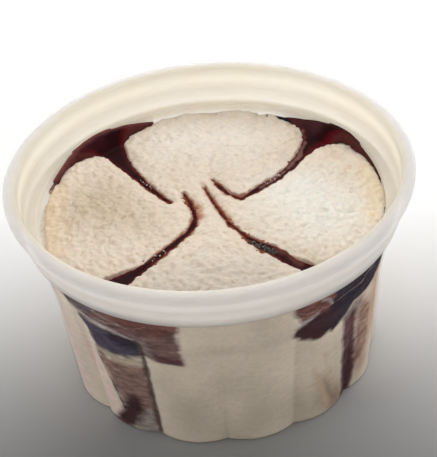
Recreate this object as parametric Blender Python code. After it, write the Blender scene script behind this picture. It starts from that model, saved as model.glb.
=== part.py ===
"""A fluted single-serve plastic cup filled with gelato that four ribbons of dark sauce run through.

Metres, +Z up. The origin is the middle of the cup's foot, on the surface that it stands on, and -Y is the
front. Angles are in degrees about the cup's axis, counter-clockwise from +X as seen from above.
"""
import math

import bmesh
import bpy
from mathutils import Vector

MM = 0.001

# Cup: heights are above the surface that it stands on
CUP_HEIGHT = 50.3 * MM
WALL = 0.8 * MM
LIP_RADIUS = 46.0 * MM
LIP_HEIGHT = 2.6 * MM
LIP_ROUND = 0.6 * MM
ROUND_MIDDLE = 1 - math.cos(math.radians(45))
MOUTH_RADIUS = 43.0 * MM
COLLAR_TOP_RADIUS = 44.9 * MM
COLLAR_FOOT_RADIUS = 42.6 * MM
COLLAR_DEPTH = 10.6 * MM
LEDGE_DEPTH = 8.7 * MM
LEDGE_RADIUS = 42.0 * MM
BAND_TOP_RADIUS = 40.1 * MM
BAND_FOOT_RADIUS = 39.8 * MM
BAND_DEPTH = 18.2 * MM
BASE_RADIUS = 36.2 * MM
FOOT_ROUND = 0.7 * MM
FOOT_RING_INNER = 28.0 * MM
FOOT_RECESS = 0.8 * MM
BASE_THICKNESS = 1.0 * MM

# Flutes: broad upright lobes with a sharp groove between each two
FLUTES = 14
GROOVE_ANGLE = 268.0
FLUTE_STEP = 0.4 * MM
GROOVE_TOP = 0.7 * MM
GROOVE_BASE = 1.6 * MM
LOBE_POWER = 0.8
STEPS_PER_FLUTE = 6

# Contents
GAP = 0.3 * MM
GELATO_DEPTH = 10.6 * MM
SAUCE_DEPTH = 11.5 * MM
SHOULDER_DROP = 0.9 * MM
SHOULDER_SOFTNESS = 2.2 * MM
CROWN = 0.5 * MM
TOP_RINGS = (0.97, 0.91, 0.82, 0.72, 0.62, 0.52, 0.42, 0.32, 0.22, 0.12, 0.03)
SAUCE_OVERRUN = 1.5 * MM

# Each ribbon of sauce. Its line, in mm, runs across the top from a tip near the middle of the cup to the
# wall. There it opens into a pool, which has an edge on each side of the line, and a film of it spreads along
# the wall. Lower down, a streak goes on to the floor. All but the line are angles, lower to higher.
RIBBONS = {
    "sauce_front_left": {
        "line": [(-6.1, 6.8), (-3.7, -0.8), (-6.0, -9.6), (-13.4, -17.0), (-25.0, -30.2)],
        "pool": (209.0, 238.0),
        "film": (207.0, 258.0),
        "streak": (228.0, 243.0),
    },
    "sauce_front_right": {
        "line": [(-1.2, 8.6), (1.7, -1.9), (6.0, -10.4), (14.0, -19.6), (23.8, -30.6)],
        "pool": (300.0, 328.0),
        "film": (291.0, 331.0),
        "streak": (311.0, 321.5),
    },
    "sauce_back_right": {
        "line": [(0.6, 9.8), (4.9, 2.9), (10.8, 5.4), (20.0, 14.4), (29.2, 25.8)],
        "pool": (27.0, 66.0),
        "film": (5.0, 67.0),
        "streak": (36.0, 47.0),
    },
    "sauce_back_left": {
        "line": [(-9.0, 3.6), (-12.2, 6.8), (-15.4, 12.2), (-19.8, 20.4), (-27.0, 28.0)],
        "pool": (112.0, 144.0),
        "film": (110.0, 160.0),
        "streak": (128.0, 139.0),
    },
}
LINE_STEPS = 10
LINE_SAMPLES = 30
LINE_TIP_HALF_WIDTH = 0.5 * MM
LINE_TAPER = 0.33
LINE_HALF_WIDTH = 1.2 * MM
LINE_TIP_DEPTH = 2.0 * MM
LINE_WALL_DEPTH = 9.0 * MM
POOL_STEPS = 7
POOL_REACH = 12.0 * MM
POOL_CURVE = 1.8
POOL_SPACING = 1.3
FILM = 1.1 * MM

# Depths below the mouth at which a pool's reach changes, and how much of it is left there
POOL_LEVELS = [(SAUCE_DEPTH, 1.0), (17.0 * MM, 0.5), (23.0 * MM, 0.25)]
STREAK_TOP = 20.0 * MM
STREAK_REACH = 2.4 * MM

SHARP_ANGLE = math.radians(30)
COLOURS = {
    "cup": ((0.86, 0.83, 0.80), 0.28),
    "gelato": ((0.86, 0.76, 0.66), 0.62),
    "sauce": ((0.045, 0.010, 0.010), 0.16),
}


def height_at(depth):
    """Height of a point that lies a depth below the mouth."""
    return CUP_HEIGHT - depth


def mix(a, b, share):
    return a + (b - a) * share


def lobe(angle):
    """0 in a groove between two flutes, 1 on the middle of a flute."""
    turn = math.radians(angle - GROOVE_ANGLE) * FLUTES / 2
    return abs(math.sin(turn)) ** LOBE_POWER


def fluted_radius(height, angle):
    """Outer radius of the fluted body, which narrows straight from the band to the foot."""
    share = 1 - height / height_at(BAND_DEPTH)
    crest = mix(BAND_FOOT_RADIUS - FLUTE_STEP, BASE_RADIUS, share)
    groove = mix(GROOVE_TOP, GROOVE_BASE, share)
    return crest - groove * (1 - lobe(angle))


def ring_angles():
    count = FLUTES * STEPS_PER_FLUTE
    return [GROOVE_ANGLE + 360 * n / count for n in range(count)]


def polar(radius, angle, height):
    turn = math.radians(angle)
    return Vector((radius * math.cos(turn), radius * math.sin(turn), height))


def round_ring(radius, height):
    return [polar(radius, angle, height) for angle in ring_angles()]


def fluted_ring(inset, height):
    return [polar(fluted_radius(height, angle) - inset, angle, height) for angle in ring_angles()]


def material(name):
    colour, roughness = COLOURS[name]
    found = bpy.data.materials.new(name)
    found.use_nodes = True
    shader = found.node_tree.nodes["Principled BSDF"]
    shader.inputs["Base Color"].default_value = (*colour, 1)
    shader.inputs["Roughness"].default_value = roughness
    shader.inputs["Metallic"].default_value = 0.0
    return found


def closed_solid(name, rings, made_of):
    """A closed body skinned over rings with equal numbers of points, with a flat cap at both ends. Each side
    is split into triangles along the same diagonal, so that a twisted side and its slot stay parallel."""
    mesh = bmesh.new()
    loops = [[mesh.verts.new(point) for point in ring] for ring in rings]
    for low, high in zip(loops, loops[1:]):
        for n in range(len(low)):
            after = (n + 1) % len(low)
            mesh.faces.new((low[n], low[after], high[after]))
            mesh.faces.new((low[n], high[after], high[n]))
    mesh.faces.new(list(reversed(loops[0])))
    mesh.faces.new(loops[-1])
    bmesh.ops.recalc_face_normals(mesh, faces=mesh.faces)
    if mesh.calc_volume(signed=True) < 0:
        bmesh.ops.reverse_faces(mesh, faces=mesh.faces)
    data = bpy.data.meshes.new(name)
    mesh.to_mesh(data)
    mesh.free()
    data.shade_smooth()
    data.set_sharp_from_angle(angle=SHARP_ANGLE)
    data.materials.append(made_of)
    solid = bpy.data.objects.new(name, data)
    bpy.context.scene.collection.objects.link(solid)
    return solid


def cut(target, operation, tool):
    """Applies a Boolean to an object and removes the tool."""
    change = target.modifiers.new(operation, "BOOLEAN")
    change.operation = operation
    change.object = tool
    change.solver = "EXACT"
    seen = target.evaluated_get(bpy.context.evaluated_depsgraph_get())
    result = bpy.data.meshes.new_from_object(seen)
    target.modifiers.clear()
    before = target.data
    target.data = result
    bpy.data.meshes.remove(before)
    bpy.data.objects.remove(tool)


def cup_rings():
    """The cup's skin from the middle of its underside, up the outside, over the lip and down to its floor."""
    lip_foot = height_at(LIP_HEIGHT)
    collar_foot = height_at(COLLAR_DEPTH)
    band_foot = height_at(BAND_DEPTH)
    ledge = height_at(LEDGE_DEPTH)
    outside = [
        round_ring(FOOT_RING_INNER - FOOT_RECESS, FOOT_RECESS),
        round_ring(FOOT_RING_INNER, 0),
        fluted_ring(FOOT_ROUND, 0),
        fluted_ring(0, FOOT_ROUND),
        fluted_ring(0, band_foot / 2),
        fluted_ring(0, band_foot - FLUTE_STEP),
        round_ring(BAND_FOOT_RADIUS, band_foot),
        round_ring(BAND_TOP_RADIUS, collar_foot),
        round_ring(COLLAR_FOOT_RADIUS - LIP_ROUND / 2, collar_foot),
        round_ring(COLLAR_FOOT_RADIUS, collar_foot + LIP_ROUND / 2),
        round_ring(COLLAR_TOP_RADIUS, lip_foot),
        round_ring(LIP_RADIUS - LIP_ROUND / 2, lip_foot),
        round_ring(LIP_RADIUS, lip_foot + LIP_ROUND / 2),
    ]
    lip = [
        round_ring(LIP_RADIUS, CUP_HEIGHT - LIP_ROUND),
        round_ring(LIP_RADIUS - LIP_ROUND * ROUND_MIDDLE, CUP_HEIGHT - LIP_ROUND * ROUND_MIDDLE),
        round_ring(LIP_RADIUS - LIP_ROUND, CUP_HEIGHT),
        round_ring(MOUTH_RADIUS + LIP_ROUND, CUP_HEIGHT),
        round_ring(MOUTH_RADIUS, CUP_HEIGHT - LIP_ROUND),
    ]
    inside = [
        round_ring(LEDGE_RADIUS, ledge + LIP_ROUND / 2),
        round_ring(LEDGE_RADIUS - LIP_ROUND / 2, ledge),
        round_ring(BAND_TOP_RADIUS - WALL + LIP_ROUND / 2, ledge),
        round_ring(BAND_TOP_RADIUS - WALL, ledge - LIP_ROUND / 2),
        round_ring(BAND_FOOT_RADIUS - WALL, band_foot),
        fluted_ring(WALL, band_foot - FLUTE_STEP - WALL),
        fluted_ring(WALL, band_foot / 2),
        fluted_ring(WALL, FOOT_RECESS + BASE_THICKNESS),
    ]
    return outside + lip + inside


def smooth_path(points, count):
    """Points at even steps of a smooth curve through the given ones, as pairs of place and direction."""
    spots = [Vector(p) * MM for p in points]
    spots = [spots[0] * 2 - spots[1]] + spots + [spots[-1] * 2 - spots[-2]]
    spans = len(points) - 1
    found = []
    for n in range(count + 1):
        at = n / count * spans
        span = min(int(at), spans - 1)
        t = at - span
        a, b, c, d = spots[span:span + 4]
        slope = (c - a) / 2
        bend = (2 * a - 5 * b + 4 * c - d) / 2
        twist = (3 * b - a - 3 * c + d) / 2
        place = b + slope * t + bend * t**2 + twist * t**3
        heading = slope + bend * 2 * t + twist * 3 * t**2
        found.append((place, heading.normalized()))
    return found


def contents_radius(height, angle):
    """Radius of what fills the cup, a gap inside its wall."""
    if height >= height_at(BAND_DEPTH):
        share = (height - height_at(BAND_DEPTH)) / (BAND_DEPTH - COLLAR_DEPTH)
        return mix(BAND_FOOT_RADIUS, BAND_TOP_RADIUS, share) - WALL - GAP
    return fluted_radius(height, angle) - WALL - GAP


def surface_height(x, y, lines):
    """Height of the gelato's top: a low crown that rounds down to the wall and to each line of sauce."""
    reach = contents_radius(height_at(GELATO_DEPTH), GROOVE_ANGLE)
    radius = math.hypot(x, y)
    nearest = min(math.hypot(x - p.x, y - p.y) for line in lines for p in line)
    crown = CROWN * (1 - (radius / reach) ** 2)
    at_wall = math.exp(-(reach - radius) / SHOULDER_SOFTNESS)
    at_sauce = math.exp(-((nearest / SHOULDER_SOFTNESS) ** 2))
    return height_at(GELATO_DEPTH) + crown - SHOULDER_DROP * max(at_wall, at_sauce)


def contents_solid(name, made_of):
    """Everything inside the cup as one body, up to the gelato's surface."""
    floor = FOOT_RECESS + BASE_THICKNESS + GAP
    edge = height_at(GELATO_DEPTH) - SHOULDER_DROP
    band_foot = height_at(BAND_DEPTH)
    lines = [[place for place, heading in smooth_path(r["line"], LINE_SAMPLES)] for r in RIBBONS.values()]
    fluted_heights = (floor, band_foot / 2, band_foot - FLUTE_STEP - WALL)
    rings = [fluted_ring(WALL + GAP, height) for height in fluted_heights]
    rings.append(round_ring(contents_radius(band_foot, 0), band_foot))
    rings.append(round_ring(contents_radius(edge, 0), edge))
    for share in TOP_RINGS:
        flat = round_ring(contents_radius(edge, 0) * share, 0)
        rings.append([Vector((p.x, p.y, surface_height(p.x, p.y, lines))) for p in flat])
    middle = sum(p.z for p in rings[-1]) / len(rings[-1])
    rings[-1] = [Vector((p.x, p.y, middle)) for p in rings[-1]]
    return closed_solid(name, rings, made_of)


def grown(outline, amount):
    """An outline in plan moved outwards by an even amount."""
    count = len(outline)
    area = sum(outline[n - 1].cross(outline[n]) for n in range(count))
    outward = -1 if area > 0 else 1
    found = []
    for n in range(count):
        before, here, after = outline[n - 1], outline[n], outline[(n + 1) % count]
        heading = ((after - here).normalized() + (here - before).normalized()).normalized()
        found.append(here + Vector((-heading.y, heading.x)) * outward * amount)
    return found


def line_solid(name, ribbon, made_of, grow, lift):
    """The curtain of sauce under a ribbon's line, shallow at its tip and deep at the wall."""
    top = height_at(SAUCE_DEPTH)
    path = smooth_path(ribbon["line"], LINE_STEPS)
    sides = []
    for side in (1, -1):
        edge = []
        for n, (place, heading) in enumerate(path):
            width = mix(LINE_TIP_HALF_WIDTH, LINE_HALF_WIDTH, min(1, n / LINE_STEPS / LINE_TAPER))
            edge.append(place + Vector((-heading.y, heading.x)) * side * width)
        sides.append(edge)
    outline = grown(sides[0] + list(reversed(sides[1])), grow)
    sections = []
    for n in range(LINE_STEPS + 1):
        left, right = outline[n], outline[-1 - n]
        low = top - mix(LINE_TIP_DEPTH, LINE_WALL_DEPTH, n / LINE_STEPS) - grow
        corners = ((left, low), (right, low), (right, top + lift), (left, top + lift))
        sections.append([Vector((p.x, p.y, height)) for p, height in corners])
    return closed_solid(name, sections, made_of)


def wall_patch(edges, middle, height, reach):
    """An outline in plan along the wall, from one angle to another, that reaches inwards by reach(angle)."""
    inner = []
    outer = []
    for step in range(-POOL_STEPS, POOL_STEPS + 1):
        share = (abs(step) / POOL_STEPS) ** POOL_SPACING
        angle = mix(middle, edges[1 if step > 0 else 0], share)
        wall = contents_radius(height, GROOVE_ANGLE)
        inner.append(polar(wall - reach(angle), angle, 0).to_2d())
        outer.append(polar(wall + GROOVE_BASE + SAUCE_OVERRUN, angle, 0).to_2d())
    return inner + list(reversed(outer))


def patch_solid(name, levels, made_of, grow, lift=0.0):
    """A body through outlines at falling heights. Grown, it also goes deeper, and lifted, further up."""
    rings = []
    for height, outline in reversed(levels):
        rings.append([Vector((p.x, p.y, height)) for p in grown(outline, grow)])
    rings[0] = [Vector((p.x, p.y, p.z - grow)) for p in rings[0]]
    if lift:
        rings.append([Vector((p.x, p.y, p.z + lift)) for p in rings[-1]])
    return closed_solid(name, rings, made_of)


def pool_solid(name, ribbon, made_of, grow, lift):
    """The pool where a ribbon's line meets the wall, with the film that spreads from it."""
    end = Vector(ribbon["line"][-1])
    middle = math.degrees(math.atan2(end.y, end.x)) % 360

    def reach(angle, left):
        side = ribbon["pool"][1 if angle > middle else 0]
        off = abs(angle - middle) / abs(side - middle)
        return FILM + POOL_REACH * left * max(0, 1 - off) ** POOL_CURVE

    levels = []
    for depth, left in POOL_LEVELS:
        height = height_at(depth)
        levels.append((height, wall_patch(ribbon["film"], middle, height, lambda angle: reach(angle, left))))
    return patch_solid(name, levels, made_of, grow, lift)


def streak_solid(name, ribbon, made_of, grow):
    """The streak that goes on down the wall from a pool to the cup's floor."""
    middle = sum(ribbon["streak"]) / 2
    heights = [height_at(STREAK_TOP) + grow, FOOT_RECESS + BASE_THICKNESS]
    levels = []
    for height in heights:
        levels.append((height, wall_patch(ribbon["streak"], middle, height, lambda angle: STREAK_REACH)))
    return patch_solid(name, levels, made_of, grow)


def ribbon_solid(name, ribbon, made_of, grow=0.0, lift=0.0):
    """A ribbon of sauce: its pool, streak and line as one body. Grown and lifted, it cuts its slot."""
    whole = pool_solid(name, ribbon, made_of, grow, lift)
    cut(whole, "UNION", streak_solid("streak", ribbon, made_of, grow))
    cut(whole, "UNION", line_solid("line", ribbon, made_of, grow, lift))
    return whole


def build():
    for thing in list(bpy.data.objects):
        bpy.data.objects.remove(thing)
    plastic, cream, syrup = material("cup"), material("gelato"), material("sauce")
    closed_solid("cup", cup_rings(), plastic)
    gelato = contents_solid("gelato", cream)
    for name, ribbon in RIBBONS.items():
        cut(gelato, "DIFFERENCE", ribbon_solid("cutter", ribbon, syrup, GAP, SAUCE_DEPTH))
        sauce = ribbon_solid(name, ribbon, syrup)
        cut(sauce, "INTERSECT", contents_solid("limit", cream))


build()
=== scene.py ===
"""Looks of a fluted plastic cup of gelato that four ribbons of dark sauce run through.

Metres, +Z up. The origin is the middle of the cup's foot, on the floor, and -Y is the front. Tables of
places are in millimetres and degrees: azimuths go counter-clockwise from +X as seen from above, and a depth
is measured down from the mouth.
"""
import math
import random

import bpy
import numpy as np
from mathutils import Matrix, Quaternion, Vector, noise


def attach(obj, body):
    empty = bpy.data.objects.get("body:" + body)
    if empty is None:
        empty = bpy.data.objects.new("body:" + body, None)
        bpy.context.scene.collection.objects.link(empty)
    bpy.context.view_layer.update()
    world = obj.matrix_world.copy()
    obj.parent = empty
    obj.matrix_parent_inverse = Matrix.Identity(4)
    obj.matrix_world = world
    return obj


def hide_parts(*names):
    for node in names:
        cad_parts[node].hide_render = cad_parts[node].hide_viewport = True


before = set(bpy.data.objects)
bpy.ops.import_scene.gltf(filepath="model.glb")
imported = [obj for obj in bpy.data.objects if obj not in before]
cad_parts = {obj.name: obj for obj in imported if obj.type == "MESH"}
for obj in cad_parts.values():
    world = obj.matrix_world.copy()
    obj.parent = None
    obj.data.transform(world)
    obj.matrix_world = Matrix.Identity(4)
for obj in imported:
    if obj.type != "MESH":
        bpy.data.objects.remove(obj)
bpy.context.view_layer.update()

MM = 0.001

# Camera, as fitted to the photograph's frame
VIEW_ELEVATION = 34.64
VIEW_ROLL = -5.375
VIEW_DISTANCE = 0.37863
FOCAL_PX = 1701.7
LONG_SIDE_PX = 457
AIM_PX = (-4.89, -61.36)
SENSOR = 36.0

# Floor, in metres and grey levels, with painted shade that darkens it towards the front, and the studio's
# glow by height: place on the ramp and level
FLOOR_HALF = 1.6
FLOOR_FADE = (-0.045, 0.055)
FLOOR_GREYS = (0.235, 0.93)
WORLD_BANDS = ((0.0, 0.7), (0.12, 0.7), (0.34, 0.12), (0.75, 0.12), (0.95, 0.4), (1.0, 0.4))
# Lamps: name, place, width, depth and glow
LAMPS = (
    ("key", (0.14, 0.42, 0.85), 0.9, 0.9, 2.35),
    ("front", (0.0, -0.85, 0.45), 1.0, 0.5, 1.5),
    ("behind", (0.0, 0.8, 0.16), 1.6, 0.4, 1.3),
    ("left", (-0.8, 0.1, 0.22), 1.2, 0.4, 2.7),
    ("right", (0.8, 0.1, 0.22), 1.2, 0.4, 2.6),
)

# Cup
CUP_HEIGHT = 50.3
WALL = 0.8
LIP_RADIUS = 46.0
LIP_HEIGHT = 2.6
MOUTH_RADIUS = 43.0
COLLAR_TOP_RADIUS = 44.9
COLLAR_FOOT_RADIUS = 42.6
COLLAR_DEPTH = 10.6
LEDGE_DEPTH = 8.7
LEDGE_RADIUS = 42.0
BAND_TOP_RADIUS = 40.1
BAND_FOOT_RADIUS = 39.8
BAND_DEPTH = 18.2
BASE_RADIUS = 36.2
FOOT_RING_INNER = 28.0
FOOT_RECESS = 0.8
FOOT_ROUND = 0.9
HUB = 0.5
BASE_THICKNESS = 1.0
FLUTES = 14
GROOVE_ANGLE = 268.0
FLUTE_STEP = 0.4
GROOVE_TOP = 0.7
GROOVE_BASE = 1.6
LOBE_POWER = 0.8
BAND_BLEND = 4.5
CUP_COLUMNS = FLUTES * 30
WALL_ROWS = 56
# An arc in the cup's outline has a point at least every so many degrees
ARC_STEP = 18
# Its plastic: colours, how much each part hides, and painted light and shade by depth: from, to, and the tone
# added at each
# Painted light: the inside is warmer, as lit by the gelato, and the outside cooler, as lit by the floor and
# the front
PLASTIC_INSIDE_PAINTED_WARM = (0.765, 0.665, 0.51)
PLASTIC_OUTSIDE_PAINTED_COOL = (0.75, 0.71, 0.675)
WALL_COVER = 0.05
COLLAR_COVER = 0.92
LIP_COVER = 0.72
LIP_DEPTHS = (3.6, 0.7)
FROST_DEPTHS = (14.5, 13.5)
FROST_RADII = (39.45, 39.62)
# Painted light and shade: the groove under the lip lighter than the lip's top, the collar darker, and a
# little lighter again from its foot down
CUP_PAINTED_LIGHT_AND_SHADE = ((2.6, 0.3, 1.09, 0.92), (5.5, 3.4, -0.40, 0.0), (COLLAR_DEPTH, 6.8, 0.15, 0.0))
# The surface halfway through the collar's wall, as height and radius at two places
COLLAR_MIDDLE = ((41.0, 42.35), (50.0, 43.90))

# Contents: they reach this far into the wall, so that no gap of air shows behind it
FOOD_INSET = 0.45
FILM_INSET = 0.37
FILM_BACK_INSET = 1.6
FLOOR_HEIGHT = FOOT_RECESS + BASE_THICKNESS
FOOD_FOOT = 0.45
GELATO_DEPTH = 10.5
CROWN = 0.5
SWELL = 0.35
SWELL_SCALE = 9.0
SHOULDER_DROP = 0.8
SHOULDER_SOFTNESS = 1.7
GROOVE_DEPTH = 2.6
GROOVE_EDGES = (0.15, -1.0)
# The gelato near the wall slopes down and meets it lower, but less so at the back, which lies between these
# azimuths. It has drawn back from the wall at one place and bulges at two: middle, spread and size
EDGE_DROP = 0.75
EDGE_SOFTNESS = 1.3
WALL_DROP = 1.4
WALL_RISE_AT_BACK = 1.1
BACK_BEGINS = (-40, 10)
BACK_ENDS = (128, 150)
DRAWN_BACK = (181, 22, 1.2)
TOUCHING = (-0.5, 0.3)
BULGES = ((12, 11, 0.6), (150, 9, 0.6))
BULGE_RADII = (33, 38.6)
# Its relief: each layer's slice of the noise, scale and height, and the pores and creases
RELIEF_WAVES = ((3.0, 3.4, 0.26), (9.0, 1.7, 0.38), (15.0, 0.9, 0.24))
PORE_SCALE = 1.3
PORE_SIZE = 0.32
PORE_DEPTH = 0.55
CREASE_SCALE = 2.8
CREASE_SPACING = 5.5
CREASE_WIDTH = 0.10
CREASE_DEPTH = 0.42
# The sauce on top: how deep it lies, where a line turns into a pool, how thick it is, and between which
# radii it climbs the wall
LINE_DEPTH = 11.15
POOL_DEPTH = 11.75
POOL_RADII = (22, 30)
ROPE_HEIGHT = 0.25
ROPE_EDGES = (0.3, -0.8)
TIP_THICKNESS = 2.0
POOL_THICKNESS = 6.0
SAUCE_OVERLAP = 0.7
CLIMB_RADII = (35.5, 39.35)
LAP_HEIGHT = 0.08
LAP_SUNK = 0.25
# Cells of the meshes: their number across the top and down the side, and their size
TOP_CELLS = 238
SIDE_ROWS = 78
SAUCE_CELL = 0.23
WALL_CELL = 0.4

# Each ribbon's outline on top, as strokes of changing half-width: x, y and half-width in mm
TOP_STROKES = {
    "sauce_front_left": [
        [(-6, 6.4, 0.4), (-4.9, 2.9, 0.6), (-4.2, -0.5, 0.6), (-3.9, -3.6, 0.7), (-4.6, -6.7, 0.9),
         (-6.3, -9.4, 0.9), (-9.5, -13, 1), (-13.2, -16.9, 1.1), (-15.9, -19.6, 1.2), (-19, -21.6, 2),
         (-22.8, -24.6, 3.2), (-26.5, -29, 5)],
        [(-36.2, -17, 0.7), (-33.5, -21.2, 1.2), (-27, -28.6, 3.5), (-21.5, -33.8, 1.3),
         (-16.5, -36.3, 0.5)],
    ],
    "sauce_front_right": [
        [(-1.2, 7.6, 0.3), (0.2, 3, 0.45), (1.9, -1.9, 0.45), (3.5, -6.3, 0.45), (5.9, -10.3, 0.5),
         (8, -13.4, 0.8), (10.8, -16.4, 1.5), (13.8, -19.2, 1.6), (16.6, -22.4, 1.6), (20.7, -25.8, 2),
         (25, -29.5, 4.5)],
        [(15.5, -36.8, 0.5), (21, -34, 1.3), (26.5, -29.6, 3.4), (31.6, -24.2, 1.5), (35.2, -18.6, 0.7)],
    ],
    "sauce_back_right": [
        [(0.8, 10.8, 0.3), (2.4, 7.6, 0.7), (4.4, 4.2, 0.6), (7, 2.3, 0.6), (9.9, 4.6, 0.9),
         (12.4, 6.6, 1.1), (15.6, 9.1, 0.9), (19, 12.8, 1.1), (21.8, 17.4, 1.5), (24, 20.9, 2.2),
         (26.8, 25, 3.8), (28.6, 28.6, 5.6)],
        [(39.5, 4.8, 0.2), (39, 10, 0.5), (37.7, 15, 0.7), (35.4, 19.8, 1), (33.7, 22.8, 1.6),
         (29.4, 27.4, 4.1), (24.4, 32.8, 2.4), (19.8, 35.9, 0.6)],
    ],
    "sauce_back_left": [
        [(-9.3, 3.4, 0.5), (-11.9, 6.8, 0.8), (-15.1, 12, 1), (-18, 17.5, 1.4), (-20, 22, 2),
         (-22.2, 27.2, 3.2), (-25, 31.8, 5.4)],
        [(-35.9, 16, 0.3), (-34.6, 20, 0.6), (-32.2, 24.2, 1), (-26.4, 30.2, 4), (-19.4, 34.8, 1.7),
         (-13.5, 37.4, 0.6)],
    ],
}
CORNER_BLEND = 1.1

# Sauce at the wall: azimuth, share of the way to the ledge that it has climbed, and mm that it lies over it
CLIMBS = {
    "sauce_front_left": [(200, 0, 0), (212, 0.5, 0), (236, 0.7, 0), (252, 0.2, 0), (258, 0, 0)],
    "sauce_front_right": [(288, 0, 0), (303, 0.6, 0), (326, 0.6, 0), (338, 0, 0)],
    "sauce_back_right": [(0, 0.3, 0), (12, 0.6, 0), (20, 0.8, 0), (26, 1, 0.3), (32, 1, 0.8),
                         (40, 1, 0.8), (46, 0.9, 0.2), (52, 0.6, 0), (58, 0.42, 0), (66, 0, 0)],
    "sauce_back_left": [(107, 0.3, 0), (113, 0.6, 0), (119, 0.9, 0.1), (126, 1, 0.8), (132, 1, 1.1),
                        (139, 1, 0.7), (146, 0.95, 0.2), (152, 0.7, 0), (158, 0.5, 0), (166, 0, 0)],
}
# How far over the ledge it lies is averaged over these turns
SPREAD = (-6, -3, 0, 3, 6)
EDGE_RAGGEDNESS = 0.35
# Noise in layers, each with a scale in mm, a seed and a size: edges on top and on the wall, and colours
TOP_EDGES = ((1.6, 1, 0.6), (0.7, 2, 0.4))
WALL_EDGES = ((1.4, 5, 0.6), (0.6, 6, 0.4))
WALL_MOTTLE = ((1, 18, 0.3), (2.6, 19, 0.35))
TOP_STAIN_EDGES = ((1.3, 13, 0.5), (0.6, 14, 0.3))
FILM_EDGE = 0.4
# Marks on the wall are drawn out along it. Cream and its stains are this streaky, and sauce fully so
STREAK_SQUEEZE = (0.3, 1)
CREAM_STREAKS = 0.12
STAIN_STREAKS = 0.35

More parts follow.
